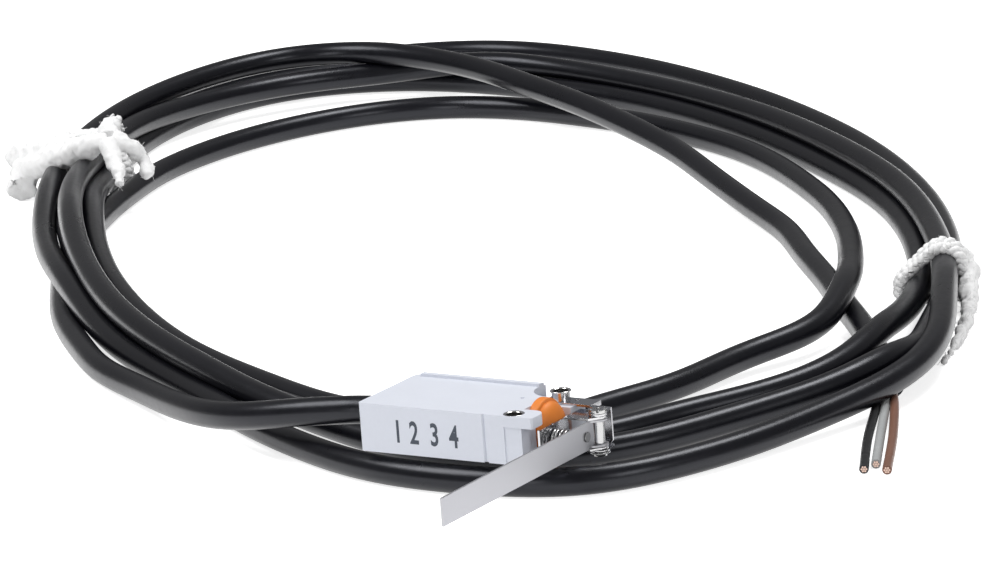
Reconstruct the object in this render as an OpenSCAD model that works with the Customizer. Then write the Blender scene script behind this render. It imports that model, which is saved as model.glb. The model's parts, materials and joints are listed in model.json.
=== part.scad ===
// Sealed limit switch with a hinged lever, two eyelets and a pre-wired lead.
// The origin is the axis of the front mounting hole at the underside.
// X points towards the plunger, Y towards the back, Z up.

/* [Housing] */
// Distance between the two mounting holes
hole_pitch = 22.2; // [21.6:0.1:23.4]
// Distance from a mounting hole to the side of the housing
hole_edge = 2.9; // [2.8:0.1:3.8]
// Thickness of the housing
body_t = 12.3; // [12:0.1:13.5]
// Distance from the head groove back to the cable end
box_len = 36.2; // [35:0.1:42]
// Distance from the mounting holes back to the head groove
groove_back = 7.2; // [6.6:0.1:8.5]
// Distance from the mounting holes to the face behind the boot
boot_face = 0.5; // [0.2:0.1:0.8]
// Reach of the front lug's top plate ahead of the holes
nose = 6.8; // [6:0.1:7.6]
// Reach of the front lug below its top plate
lug_reach = 3.4; // [3:0.1:3.5]
// Reach of the rear lug ahead of the holes
rear_reach = 5; // [3.5:0.1:5.4]
// Side walls and floor of the tub
wall = 1.6; // [1.2:0.1:1.7]
// Thickness of the cover over the tub
cover_t = 1.2; // [0.9:0.1:1.4]
// Thickness of the cover over the front lug
plate_t = 2.8; // [2.4:0.1:2.9]
// Drop of the rear lug below the top face
rear_drop = 3.1; // [2.9:0.1:3.3]
// Radius of the cover's cut-out round the rear eyelet
rear_arc = 6.6; // [6.2:0.1:7]
// Radius of the front lug's inner corner
lug_round = 3; // [1:0.1:3.4]
// Radius of the two rear corners of the box
corner_round = 2.2; // [0.5:0.1:2.6]
// Depth of the V groove in both sides
groove_depth = 0.5; // [0.2:0.1:0.7]
// Step back of the front lug's side face
lug_step = 0.25; // [0.1:0.05:0.4]
// Height of the raised lip along the cover's back edge
lip_h = 0.7; // [0.2:0.1:0.9]

/* [Eyelets] */
// Bore of the eyelets
eyelet_bore = 4; // [3.4:0.1:4.2]
// Wall of the eyelet tubes
eyelet_wall = 0.3; // [0.2:0.05:0.35]
// Diameter of the rolled eyelet flanges
flange_d = 5.4; // [5.1:0.1:5.6]
// Thickness of the rolled eyelet flanges
flange_t = 0.4; // [0.3:0.05:0.5]

/* [Plunger] */
// Diameter of the plunger
plunger_d = 4; // [3.4:0.1:4.4]
// Height of the plunger's axis above the underside
plunger_z = 6.3; // [6.2:0.1:6.5]
// Diameter of the plunger's flange
plunger_flange_d = 6; // [5.4:0.1:6.2]
// Diameter of the pin behind the flange
tail_d = 2; // [1.6:0.1:2.2]
// Length of the return spring
spring_len = 6; // [5:0.1:7]
// Outer diameter of the return spring
spring_d = 5; // [4.4:0.1:5.4]
// Wire of the return spring
spring_wire = 0.5; // [0.4:0.05:0.6]
// Radius of the boot's collar
boot_r = 7; // [6.6:0.1:7.2]
// Length of the boot from its seat to its tip
boot_len = 5.6; // [5:0.1:6]
// Length of the boot's collar
collar_len = 2.3; // [1.6:0.1:2.6]
// Rubber wall of the boot
boot_wall = 0.9; // [0.7:0.1:1.1]

/* [Lever] */
// Sheet thickness of the bracket and the lever arm
sheet = 0.6; // [0.5:0.05:0.7]
// Distance from the mounting holes forward to the hinge pin
pin_x = 13.4; // [13:0.1:14.4]
// Distance from the front hole across to the hinge pin
pin_y = 17; // [16.6:0.1:17.4]
// Diameter of the hinge pin
pin_d = 3; // [2.4:0.1:3.2]
// Height of the blade's centre line
lever_z = 4.2; // [4.1:0.05:4.25]
// Height of the outer blade
blade_h = 7; // [6.4:0.1:7.1]
// Thickness of the outer blade
blade_t = 0.6; // [0.4:0.05:0.7]
// Distance from the hinge pin to the blade's tip
blade_len = 72; // [40:1:90]
// Gap between the inner leaf and the outer blade
lever_gap = 5.7; // [5.4:0.1:6]
// Distance from the hinge pin to the inner leaf's free end
leaf_len = 16.8; // [15:0.1:17]
// Outer diameter of the overtravel spring
over_spring_d = 6; // [5:0.1:6.4]
// Wire of the overtravel spring
over_spring_wire = 0.7; // [0.5:0.05:0.8]
// Distance from the hinge pin to the overtravel spring
over_spring_arm = 10; // [9:0.1:11]
// Distance from the hinge pin to the blade's rivet
rivet_arm = 5.3; // [4.8:0.1:5.5]

/* [Contacts] */
// Thickness of the snap blade
snap_t = 0.3; // [0.2:0.05:0.4]
// Height of the snap blade
snap_h = 4; // [3:0.1:4.4]
// Distance from the snap blade's pivot to its contact
contact_arm = 18.5; // [18:0.1:18.8]
// Diameter of the contact heads
contact_d = 2.4; // [2:0.1:2.8]
// Open gap between the contacts
contact_gap = 1.9; // [1.85:0.05:2.2]
// Thickness of the terminal strips
strip_t = 0.6; // [0.4:0.05:0.7]
// Radius of the bead that the snap blade turns on
bead_r = 0.35; // [0.25:0.05:0.4]
// Distance from the end of the sheath inside to the terminal strips
core_run = 5.4; // [4.8:0.1:6]

/* [Cable] */
// Diameter of the cable
cable_d = 7.2; // [7:0.1:7.3]
// Diameter of one core
core_d = 2.4; // [2.2:0.1:2.6]
// Wall of the rubber seal round the cable
seal_wall = 0.8; // [0.6:0.05:0.85]
// Length of the rubber seal
seal_len = 3.6; // [2.8:0.1:4]
// Length of the cable clamp
clamp_len = 2.6; // [2:0.1:3]
// Thickness of the cord ties
tie_t = 1.4; // [1:0.1:2]
// Width of the cord ties along the cable
tie_w = 14; // [8:1:20]

/* [Hidden] */
// Radial clearance of a piece that moves in its hole
run_gap = 0.05;
// Radial clearance of a piece that is pressed in
seat_gap = 0.02;
// Side clearance between folded ears
side_gap = 0.1;
// Clearance round the boot's collar
boot_gap = 0.1;
// Overshoot of a cut past the face that it opens
over = 1;

front_y = -hole_edge;
back_y = hole_pitch + hole_edge;
mid_y = hole_pitch / 2;
groove_x = -groove_back;
end_x = groove_x - box_len;
cover_z = body_t - cover_t;
plate_z = body_t - plate_t;
rear_z = body_t - rear_drop;
lug_in = mid_y - boot_r - boot_gap;
lug_back = mid_y + boot_r + boot_gap;
cable_z = body_t / 2;
cable_r = cable_d / 2;

tub_x = end_x + wall;
tub_front = front_y + wall;
tub_back = back_y - wall;
guide_x = groove_x + 1.2;

eyelet_r = eyelet_bore / 2 + eyelet_wall;
strip_w = 5.3;

boot_tip = boot_face + boot_len;
leaf_x = boot_tip + side_gap;
blade_x = leaf_x + sheet + lever_gap;
blade_z = lever_z - blade_h / 2;
blade_top = blade_z + blade_h;
arm_low = blade_z - side_gap - sheet;
arm_high = blade_top + side_gap + sheet;
ear_low = arm_low - side_gap - sheet;
ear_high = arm_high + side_gap + sheet;
bracket_y = back_y - 0.2 - strip_w;
web_x = pin_x - 4.2;
web_y = pin_y + 4.6;

plunger_tip = boot_tip - boot_wall - side_gap;
flange_x = guide_x - run_gap;
plunger_flange_t = 1;
rib_x = flange_x - plunger_flange_t - spring_len;
rib_t = 1.2;
snap_x = rib_x - rib_t - 1.1;
tail_x = snap_x + snap_t / 2 + side_gap;
common_y = tub_front + 1.6;
pivot_y = common_y + strip_t + side_gap;
contact_y = pivot_y + contact_arm;
contact_half = 1;
closed_face = snap_x + contact_half + run_gap;
open_face = snap_x - contact_half - contact_gap;
strip_top = plunger_z + 2.3;
closed_y = tub_back - 0.2 - strip_t;
open_y = contact_y - 2.1;
seal_x = end_x + seal_len;
clamp_x = seal_x + 0.4;
sheath_x = clamp_x + clamp_len + 1;
strip_x = sheath_x + core_run;
core_r = core_d / 2;

// Height of the surface that the coil lies on
ground_z = -9;

// The loop is an oval: its centre, its two half axes and the turn of its long axis
loop_x = -141;
loop_y = 198;
loop_long = 250;
loop_short = 108;
loop_turn = 129;
stations = 16;

// Inner and outer edge of the lower layer of turns, measured outwards from the oval
low_in = [-8, -4, 0, -8, -13, -24, -40, -43, -48, -38, -14, 6, 10, 5, -3, -6];
low_out = [24, 22, 17, 13, 8, 0, -4, -2, -2, -2, 4, 25, 33, 35, 36, 33];
// The upper layer runs from station 10 round the back to station 20, which is 4 again
high_first = 10;
high_in = [8, 16, 16, 10, 6, 6, 12, 8, 1, -8, -13];
high_out = [22, 25, 24, 20, 18, 19, 22, 22, 18, 13, 8];

// Route of the lead from the housing to the first turn
lead_route = [
    [-57, 9, 6], [-69, 8, 5], [-84, 10, 3.5], [-106, 18, 0.5], [-138, 40, -4], [-162, 57, -5.4],
    [-184, 76, -5.4], [-207, 99, -5.4], [-226, 124, -5.4], [-243, 152, -5.4], [-257, 181, -5.4],
    [-268, 210, -5.4], [-279, 243, -5.4], [-285, 278, -5.4], [-283, 312, -5.4], [-270, 342, -5.4],
    [-247, 361, -5.4], [-220, 366, -5.4], [-190, 360, -5.4], [-156, 344, -5.4], [-122, 320, -5.4],
    [-85, 289, -5.4], [-51, 254, -5], [-20, 208, -1.5], [-1, 172, 1.8], [5, 146, 1.8], [1, 122, -3],
    [-5, 98, -5.4], [-14, 73, -5.4], [-31, 53, -5.4], [-54, 45, -5.4], [-80, 44, -5.4],
    [-105, 48, -5.4]];
// Route of the free end from the last turn to the end of the sheath
end_route = [
    [-292, 411, 2], [-258, 400, 2], [-214, 381, 2], [-190, 361, 2], [-166, 339, 2], [-129, 307, 0],
    [-104, 291, -3], [-84, 272, -5], [-65, 252, -5.4], [-42, 223, -5.4], [-18, 196, -5.4],
    [1, 172, -5.4], [13, 156, -5.4], [26, 138, -5.4], [36, 122, -5.4], [45, 106, -5.4]];
// Routes of the three cores beyond the sheath
black_route = [[45, 106, -5], [50, 92, -6.5], [60, 68, -7.8], [71.7, 43.8, -7.8]];
grey_route = [[45, 106, -5], [52, 93, -6.5], [62, 71, -7.8], [72.5, 48.6, -7.8]];
brown_route = [[45, 106, -5], [54, 94, -6.5], [65, 72, -7.8], [77.5, 44.8, -7.8]];

$fn = 48;

// A unit vector along v
function unit(v) = v / norm(v);

// Direction of a path at point i
function heading(path, i) =
    let (a = path[max(i - 1, 0)], b = path[min(i + 1, len(path) - 1)]) unit(b - a);

// One ring of a tube: sides points round path[i], square to the path
function ring(path, i, r, sides) =
    let (t = heading(path, i), s = unit(cross([0, 0, 1], t)), n = cross(t, s))
    [for (j = [0:sides - 1]) let (a = 360 * j / sides) path[i] + r * cos(a) * s + r * sin(a) * n];

// Faces of a closed tube with the given number of rings
function tube_faces(rings, sides) = concat(
    [[for (j = [0:sides - 1]) j]],
    [for (i = [0:rings - 2], j = [0:sides - 1]) let (k = (j + 1) % sides)
        [i * sides + j, (i + 1) * sides + j, (i + 1) * sides + k, i * sides + k]],
    [[for (j = [sides - 1:-1:0]) (rings - 1) * sides + j]]);

// A point on the smooth curve from b to c that a, b, c and d guide
function between(a, b, c, d, t) = 0.5 * (2 * b + (c - a) * t + (2 * a - 5 * b + 4 * c - d) * t * t
    + (3 * b - a - 3 * c + d) * t * t * t);

// The path made smooth, with steps points for each of its points
function smooth(p, steps) = let (n = len(p)) concat(
    [for (i = [0:n - 2], s = [0:steps - 1])
        between(p[max(i - 1, 0)], p[i], p[i + 1], p[min(i + 2, n - 1)], s / steps)],
    [p[n - 1]]);

// A tube along a path
module tube(path, r, sides = 10) {
    points = [for (i = [0:len(path) - 1]) each ring(path, i, r, sides)];
    polyhedron(points, tube_faces(len(path), sides), convexity = 10);
}

// A wire spring along X from x = 0, with its end turns closed up
module wire_spring(length, d, wire, turns, sides = 6, steps = 16) {
    r = (d - wire) / 2;
    count = turns * steps;
    rise = length - wire;
    closed = wire * 1.1;
    path = [for (i = [0:count])
        let (a = 360 * i / steps, q = i / steps,
            x = q < 1 ? q * closed : q > turns - 1 ? rise - (turns - q) * closed
                : closed + (rise - 2 * closed) * (q - 1) / (turns - 2))
        [wire / 2 + x, r * cos(a), r * sin(a)]];
    points = [for (i = [0:count])
        let (a = 360 * i / steps)
        for (j = [0:sides - 1]) let (b = 360 * j / sides)
            path[i] + wire / 2 * [sin(b), cos(b) * cos(a), cos(b) * sin(a)]];
    polyhedron(points, [for (f = tube_faces(count + 1, sides)) reversed(f)], convexity = 10);
}

// A cylinder along X from the given point
module rod(at, length, d) translate(at) rotate([0, 90, 0]) cylinder(h = length, d = d);

// A block from one corner to the opposite one
module block(low, high) translate(low) cube(high - low);

// Points of an arc in the plane
function arc(c, r, from, to, steps = 8) =
    [for (i = [0:steps]) let (a = from + (to - from) * i / steps) c + r * [cos(a), sin(a)]];

// Plan of the box and the head up to the face behind the boot
module box_plan() {
    polygon(concat(
        [[end_x + 0.6, front_y], [boot_face, front_y], [boot_face, back_y]],
        arc([end_x + corner_round, back_y - corner_round], corner_round, 90, 180),
        [[end_x, front_y + 0.6]]));
}

// Plan of the front lug's top plate, with its inner corner round
module plate_plan() {
    polygon(concat(
        [[boot_face - 0.01, front_y], [nose - 0.4, front_y], [nose, front_y + 0.4]],
        arc([nose - lug_round, lug_in - lug_round], lug_round, 0, 90),
        [[boot_face - 0.01, lug_in]]));
}

// The two V grooves that part the head from the box
module grooves() {
    for (y = [front_y, back_y]) {
        translate([groove_x, y, -over]) rotate([0, 0, 45])
            translate([-groove_depth * 0.7, -groove_depth * 0.7, 0])
                cube([groove_depth * 1.4, groove_depth * 1.4, body_t + 2 * over]);
        block([groove_x - 0.5, y - 0.7, -over], [groove_x + 0.9, y + 0.7, 0.4]);
    }
}

// A post beside the start of a terminal strip
module strip_post(y)
    block([strip_x + 0.6, y, wall - 0.01], [strip_x + 2.6, y + 1.1, plunger_z - 2.6]);

// A pair of posts that hold a terminal strip between them
module strip_posts(y) {
    strip_post(y - run_gap - 1.1);
    strip_post(y + strip_t + run_gap);
}

module housing_base() color("white") difference() {
    union() {
        difference() {
            linear_extrude(cover_z) box_plan();
            block([tub_x, tub_front, wall], [guide_x, tub_back, body_t]);
            block([groove_x, front_y - over, plate_z], [nose, back_y + over, body_t]);
            block([-1.4, front_y - over, -over], [nose, front_y + lug_step, plate_z + over]);
        }
        block([boot_face - 0.01, front_y + lug_step, 0], [lug_reach, lug_in, plate_z]);
        block([boot_face - 0.01, lug_back, 0], [rear_reach, back_y, rear_z]);
        block([rib_x - rib_t, mid_y - 3.6, wall - 0.01], [rib_x, mid_y + 3.6, strip_top + 0.6]);
        strip_posts(common_y);
        strip_posts(open_y);
        strip_post(closed_y - run_gap - 1.1);
    }
    translate([0, hole_pitch, rear_z]) cylinder(h = body_t, r = rear_arc);
    for (y = [0, hole_pitch]) {
        translate([0, y, -over]) cylinder(h = body_t + 2 * over, r = eyelet_r + seat_gap);
        translate([0, y, -over]) cylinder(h = flange_t + over, d = flange_d + 2 * seat_gap);
    }
    rod([guide_x - over, mid_y, plunger_z], boot_face - guide_x + 2 * over, plunger_d + 2 * run_gap);
    rod([rib_x - rib_t - over, mid_y, plunger_z], rib_t + 2 * over, tail_d + 0.6);
    rod([end_x - over, mid_y, cable_z], wall + 2 * over, cable_d + 2 * seal_wall + 4 * seat_gap);
    grooves();
}

module housing_cover() color("whitesmoke") difference() {
    union() {
        translate([0, 0, cover_z]) linear_extrude(cover_t) box_plan();
        block([groove_x, front_y, plate_z], [boot_face, back_y, cover_z + 0.01]);
        translate([0, 0, plate_z]) linear_extrude(plate_t) plate_plan();
        block([end_x + corner_round, back_y - 2.1, body_t - 0.01], [-5, back_y - 0.5, body_t + lip_h]);
    }
    translate([0, hole_pitch, plate_z - over]) cylinder(h = body_t, r = rear_arc);
    translate([0, 0, plate_z - over]) cylinder(h = body_t, r = eyelet_r + seat_gap);
    translate([0, 0, body_t - flange_t]) cylinder(h = body_t, d = flange_d + 2 * seat_gap);
    translate([-5.3, mid_y + 1.8, body_t - 0.3]) cylinder(h = over, d = 1.2);
    grooves();
}

// A rolled tube with a flange at each end
module eyelet() {
    rotate_extrude() polygon([[eyelet_bore / 2, 0], [flange_d / 2, 0], [flange_d / 2, flange_t],
        [eyelet_r, flange_t], [eyelet_r, body_t - flange_t], [flange_d / 2, body_t - flange_t],
        [flange_d / 2, body_t], [eyelet_bore / 2, body_t]]);
}

module front_eyelet() color("silver") eyelet();

module rear_eyelet() color("silver") translate([0, hole_pitch, 0]) eyelet();

module plunger_boot() {
    dome_r = boot_r - 0.8;
    nose_r = 2.6;
    inner = boot_len - boot_wall;
    color("darkorange") difference() {
        translate([boot_face, mid_y, plunger_z]) rotate([0, 90, 0]) rotate_extrude() difference() {
            union() {
                square([boot_r, collar_len]);
                square([dome_r, boot_len - nose_r]);
                square([dome_r - nose_r, boot_len]);
                translate([dome_r - nose_r, boot_len - nose_r]) intersection() {
                    circle(nose_r);
                    square(nose_r);
                }
            }
            translate([0, -over]) square([plunger_d / 2 + 1.2, over + inner]);
            translate([0, collar_len - 1]) square([dome_r - nose_r, inner - collar_len + 1]);
        }
        block([boot_face - over, mid_y - 2 * boot_r, -boot_r], [boot_tip + over, mid_y + 2 * boot_r, 0.2]);
    }
}

module plunger() color("ivory") translate([0, mid_y, plunger_z]) {
    rod([flange_x, 0, 0], plunger_tip - flange_x - 0.6, plunger_d);
    translate([plunger_tip - 0.6, 0, 0]) rotate([0, 90, 0])
        cylinder(h = 0.6, d1 = plunger_d, d2 = plunger_d - 1.2);
    rod([flange_x - plunger_flange_t, 0, 0], plunger_flange_t, plunger_flange_d);
    rod([tail_x, 0, 0], flange_x - plunger_flange_t - tail_x, tail_d);
}

module plunger_spring() color("gray")
    translate([rib_x, mid_y, plunger_z]) wire_spring(spring_len, spring_d, spring_wire, 6);

module snap_blade() color("goldenrod") {
    translate([snap_x, pivot_y, plunger_z - snap_h / 2]) cylinder(h = snap_h, r = bead_r);
    difference() {
        block([snap_x - snap_t / 2, pivot_y, plunger_z - snap_h / 2],
            [snap_x + snap_t / 2, contact_y + contact_d / 2 + 0.2, plunger_z + snap_h / 2]);
        rod([snap_x - over, contact_y, plunger_z], 2 * over, contact_d / 2 + 2 * seat_gap);
    }
}

// A bowed leaf on the back of the snap blade, its two ends against the blade
module snap_spring() {
    half = 5.5;
    bow = 2.9;
    r = (half * half + bow * bow) / (2 * bow);
    back = snap_x - snap_t / 2 - seat_gap;
    color("khaki") intersection() {
        translate([back - bow + r, pivot_y + 9.5, plunger_z - snap_h / 2 + 0.8]) difference() {
            cylinder(h = snap_h - 1.6, r = r);
            translate([0, 0, -over]) cylinder(h = snap_h + over, r = r - 0.25);
        }
        block([back - 2 * bow, pivot_y, 0], [back, contact_y, body_t]);
    }
}

// A contact rivet: a head, a shank and a second head along X
module contact_rivet(x, first, shank, second) translate([x, contact_y, plunger_z]) {
    rod([0, 0, 0], first, contact_d);
    rod([first - 0.01, 0, 0], shank + 0.02, contact_d / 2);
    rod([first + shank, 0, 0], second, contact_d);
}

module moving_contact() color("silver")
    contact_rivet(snap_x - contact_half, contact_half - snap_t / 2, snap_t, contact_half - snap_t / 2);

module fixed_contact_closed() color("silver") contact_rivet(closed_face, 1, strip_t, 0.3);

module fixed_contact_open() color("silver")
    contact_rivet(open_face - 1 - strip_t - 0.3, 0.3, strip_t, 1);

// An upright plate with a hole for a contact's shank, its face at x
module contact_plate(x, y_low, y_high) difference() {
    block([x, y_low, wall], [x + strip_t, y_high, strip_top]);
    rod([x - over, contact_y, plunger_z], 2 * over + strip_t, contact_d / 2 + 2 * seat_gap);
}

module closed_terminal() color("peru") {
    contact_plate(closed_face + 1, contact_y - 1.6, closed_y + strip_t);
    block([strip_x, closed_y, wall], [closed_face + 1.01, closed_y + strip_t, strip_top]);
}

module open_terminal() color("peru") {
    contact_plate(open_face - 1 - strip_t, open_y, contact_y + 1.8);
    block([strip_x, open_y, wall], [open_face - 0.99 - strip_t, open_y + strip_t, strip_top]);
}

module common_terminal() color("peru") difference() {
    block([strip_x, common_y, wall], [snap_x + 0.9, common_y + strip_t, strip_top]);
    translate([snap_x, pivot_y, 0]) cylinder(h = body_t, r = bead_r + run_gap);
}

module cable_seal() color("dimgray") translate([end_x, mid_y, cable_z]) rotate([0, 90, 0]) difference() {
    cylinder(h = seal_len, r = cable_r + seal_wall + seat_gap);
    translate([0, 0, -over]) cylinder(h = seal_len + 2 * over, r = cable_r + seat_gap);
}

module cable_clamp() color("lightgray") difference() {
    block([clamp_x, mid_y - cable_r - 2.2, wall], [clamp_x + clamp_len, mid_y + cable_r + 2.2, cover_z - 0.2]);
    rod([clamp_x - over, mid_y, cable_z], clamp_len + 2 * over, cable_d + 2 * seat_gap);
}

module cable_entry() color("black") rod([end_x, mid_y, cable_z], sheath_x - end_x, cable_d);

// A core from the sheath to a terminal strip, in an even S bend and a straight end
module inner_core(angle, to_y, to_z) {
    a = [sheath_x + 0.5, mid_y + 1.5 * cos(angle), cable_z + 1.5 * sin(angle)];
    b = [strip_x + 1, to_y, to_z];
    bend = [for (i = [0:8]) let (t = i / 8, s = t * t * (3 - 2 * t))
        [a.x + (b.x - a.x) * t, a.y + (b.y - a.y) * s, a.z + (b.z - a.z) * s]];
    tube(concat([a - [0.5, 0, 0]], bend, [b + [3, 0, 0]]), core_r, 8);
}

module inner_core_black() color("black") inner_core(210, common_y + strip_t + core_r + 0.05, 5.2);

module inner_core_grey() color("gray") inner_core(90, open_y - core_r - 0.05, 6.6);

module inner_core_brown() color("sienna") inner_core(330, closed_y - core_r - 0.05, 5.2);

// A flat ear round the hinge pin, from a plan outline
module ear(z, plan, r, hole) translate([0, 0, z]) difference() {
    union() {
        linear_extrude(sheet) polygon(plan);
        translate([pin_x, pin_y, 0]) cylinder(h = sheet, r = r);
    }
    translate([pin_x, pin_y, -over]) cylinder(h = sheet + 2 * over, d = hole);
}

module lever_bracket() {
    plan = [[web_x, web_y + sheet], [web_x, web_y - 1.2], [pin_x - 2.4, pin_y], [pin_x + 2.4, pin_y],
        [pin_x + 1, web_y], [pin_x + 1, web_y + sheet]];
    color("silver") {
        difference() {
            block([-4, bracket_y, rear_z], [web_x + sheet, bracket_y + strip_w, rear_z + sheet]);
            translate([0, hole_pitch, 0]) cylinder(h = body_t, r = eyelet_r + seat_gap);
            translate([4.4, hole_pitch + 0.6, 0]) cylinder(h = body_t, d = 1.3);
        }
        block([web_x, bracket_y + 0.6, ear_high - sheet], [web_x + sheet, bracket_y + strip_w, rear_z + sheet]);
        difference() {
            block([web_x, web_y, ear_low], [pin_x + 1, web_y + sheet, ear_high]);
            translate([pin_x + 1, 0, ear_low]) rotate([0, 45, 0]) translate([-1, 0, -1])
                cube([2, 2 * web_y, 2]);
        }
        for (z = [ear_low, ear_high - sheet])
            ear(z, plan, 2.4, pin_d + 2 * seat_gap);
    }
}

module hinge_pin() color("silver") translate([pin_x, pin_y, 0]) difference() {
    union() {
        translate([0, 0, ear_low - 0.6]) cylinder(h = ear_high - ear_low + 1.2, d = pin_d);
        translate([0, 0, ear_low - 1.1]) cylinder(h = 0.7, d = pin_d + 0.4);
        translate([0, 0, ear_high + side_gap / 2]) cylinder(h = 0.9, d = pin_d + 1.8);
    }
    translate([0, 0, ear_high + 0.3]) cylinder(h = over, d = pin_d - 1.2);
    for (a = [0:60:300])
        rotate([0, 0, a]) block([pin_d / 2, -0.3, ear_high + 0.4], [pin_d, 0.3, ear_high + 2]);
}

module pin_washer() color("silver") translate([pin_x, pin_y, ear_low - 0.35]) difference() {
    cylinder(h = 0.3, d = pin_d + 2.2);
    translate([0, 0, -over]) cylinder(h = 3 * over, d = pin_d + 2 * seat_gap);
}

module lever_arm() {
    root_y = pin_y - 4.1;
    plan = [[leaf_x, root_y], [pin_x - 0.4, root_y], [pin_x + 1.6, pin_y - 1.4], [pin_x + 1.8, pin_y],
        [pin_x - 2, pin_y + 1], [web_x - 0.4, pin_y + 1.6], [web_x - 1, pin_y + 3.6], [leaf_x, pin_y + 3.6]];
    spring_y = pin_y - over_spring_arm;
    color("gainsboro") {
        difference() {
            block([leaf_x, pin_y - leaf_len, arm_low], [leaf_x + sheet, root_y + 1, arm_high]);
            block([leaf_x - over, spring_y - 0.9, arm_high - 0.3], [leaf_x + over, spring_y, arm_high + over]);
        }
        rod([leaf_x + sheet - 0.01, spring_y, lever_z], 0.5, over_spring_d - 2 * over_spring_wire - 0.5);
        for (z = [arm_low, arm_high - sheet])
            ear(z, plan, 2.2, pin_d + 2 * run_gap);
    }
}

module overtravel_spring() color("gray")
    translate([leaf_x + sheet + run_gap, pin_y - over_spring_arm, lever_z])
        wire_spring(lever_gap - 2 * run_gap, over_spring_d, over_spring_wire, 5);

module lever_blade() {
    end_y = pin_y - pin_d / 2 - 0.3;
    plan = [[blade_x, end_y - 1.6], [blade_x + blade_t, end_y - 1.6], [pin_x + 1.6, pin_y - 1.6],
        [pin_x, pin_y], [blade_x, pin_y - 1]];
    color("lightsteelblue") {
        difference() {
            block([blade_x, pin_y - blade_len, blade_z], [blade_x + blade_t, end_y, blade_top]);
            rod([blade_x - over, pin_y - rivet_arm, lever_z], 3 * over, 1.6 + 2 * seat_gap);
        }
        for (z = [blade_z, blade_top - sheet])
            ear(z, plan, 2.3, pin_d + 2 * run_gap);
    }
}

module blade_rivet() color("gray") translate([blade_x, pin_y - rivet_arm, lever_z]) {
    rod([-0.4, 0, 0], 0.4 - 0.01, 2.4);
    rod([-0.1, 0, 0], blade_t + 0.2, 1.6);
    rod([blade_t + 0.01, 0, 0], 0.35, 2.6);
}

// A point at a station of the oval, set outwards by the given distance
function station(k, out) =
    let (phi = 360 * k / stations,
        u = [cos(loop_turn), sin(loop_turn)], v = [-sin(loop_turn), cos(loop_turn)],
        t = unit(-loop_long * sin(phi) * u + loop_short * cos(phi) * v))
    [loop_x, loop_y] + loop_long * cos(phi) * u + loop_short * sin(phi) * v + out * [t.y, -t.x];

// An offset list read at any place between its stations, smoothly
function eased(list, s) = let (i = floor(s), t = s - i, n = len(list))
    list[i % n] + (list[(i + 1) % n] - list[i % n]) * t * t * (3 - 2 * t);

// Closed edge of the lower layer
function low_edge(list) = [for (i = [0:3 * stations - 1]) station(i / 3, eased(list, i / 3))];

// Edge of the upper layer from its first station to its last
function high_edge(list) = [for (i = [0:3 * (len(list) - 1)])
    station(high_first + i / 3, eased(list, min(i / 3, len(list) - 1.001)))];

function reversed(list) = [for (i = [len(list) - 1:-1:0]) list[i]];

// Plan of the lower layer, made wider all round by the given distance
module low_plan(grow = 0) difference() {
    polygon(low_edge([for (o = low_out) o + grow]));
    polygon(low_edge([for (o = low_in) o - grow]));
}

// Plan of the upper layer
module high_plan(grow = 0)
    polygon(concat(high_edge([for (o = high_out) o + grow]), reversed(high_edge([for (o = high_in) o - grow]))));

// A slab square to the loop at a station, as wide as a tie
module tie_slab(k, low, high) {
    a = station(k, 0);
    t = unit(station(k + 0.1, 0) - station(k - 0.1, 0));
    translate([a.x, a.y, low]) rotate([0, 0, atan2(t.y, t.x)])
        translate([-tie_w / 2, -50, 0]) cube([tie_w, 100, high - low]);
}

// Both layers of turns, before the ties press into them
module turns(grow = 0) {
    translate([0, 0, ground_z]) linear_extrude(cable_d + grow) low_plan(grow);
    translate([0, 0, ground_z + cable_d - 0.2]) linear_extrude(cable_d + 0.2 + grow) high_plan(grow);
}

tie_left_at = 2.8;
tie_right_at = 11.1;
tie_top = ground_z + 2 * cable_d + tie_t;

module cable_coil() color("#222222") difference() {
    turns();
    for (k = [tie_left_at, tie_right_at])
        tie_slab(k, ground_z - over, ground_z + tie_t);
}

// A cord round all the turns at one station
module tie(k) color("white") intersection() {
    difference() {
        turns(tie_t);
        difference() {
            turns();
            tie_slab(k, ground_z - over, ground_z + tie_t);
        }
    }
    tie_slab(k, ground_z, tie_top + over);
}

module left_tie() tie(tie_left_at);

module right_tie() tie(tie_right_at);

lead_start = [end_x, mid_y, cable_z];

module cable_lead() color("#222222")
    tube(concat([lead_start, lead_start - [6, 0, 0]], lead_route), cable_r);

module cable_end() color("#222222") tube(end_route, cable_r);

// The core's route set beside its neighbours where it leaves the sheath
function fanned(route, side) = [for (i = [0:len(route) - 1])
    i == 0 ? route[0] + [1.3 * cos(side), 1.3 * cos(side), 1.3 * sin(side)] : route[i]];

module tail_core_black() color("black") tube(smooth(fanned(black_route, 180), 2), core_r, 8);

module tail_core_grey() color("gray") tube(smooth(fanned(grey_route, 80), 2), core_r, 8);

module tail_core_brown() color("sienna") tube(smooth(fanned(brown_route, -20), 2), core_r, 8);

// A short bunch of strands at the tip of each core
module copper_ends() color("orange") for (route = [black_route, grey_route, brown_route]) {
    tip = route[len(route) - 1];
    t = unit(tip - route[len(route) - 2]);
    translate(tip) rotate([0, 90, atan2(t.y, t.x)]) cylinder(h = 0.5, d = core_d * 0.6);
}

housing_base();
housing_cover();
front_eyelet();
rear_eyelet();
plunger_boot();
plunger();
plunger_spring();
snap_blade();
snap_spring();
moving_contact();
fixed_contact_closed();
fixed_contact_open();
closed_terminal();
open_terminal();
common_terminal();
cable_seal();
cable_clamp();
cable_entry();
inner_core_black();
inner_core_grey();
inner_core_brown();
lever_bracket();
hinge_pin();
pin_washer();
lever_arm();
overtravel_spring();
lever_blade();
blade_rivet();
cable_lead();
cable_coil();
cable_end();
tail_core_black();
tail_core_grey();
tail_core_brown();
copper_ends();
left_tie();
right_tie();
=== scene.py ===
import json
import math
import random

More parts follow.
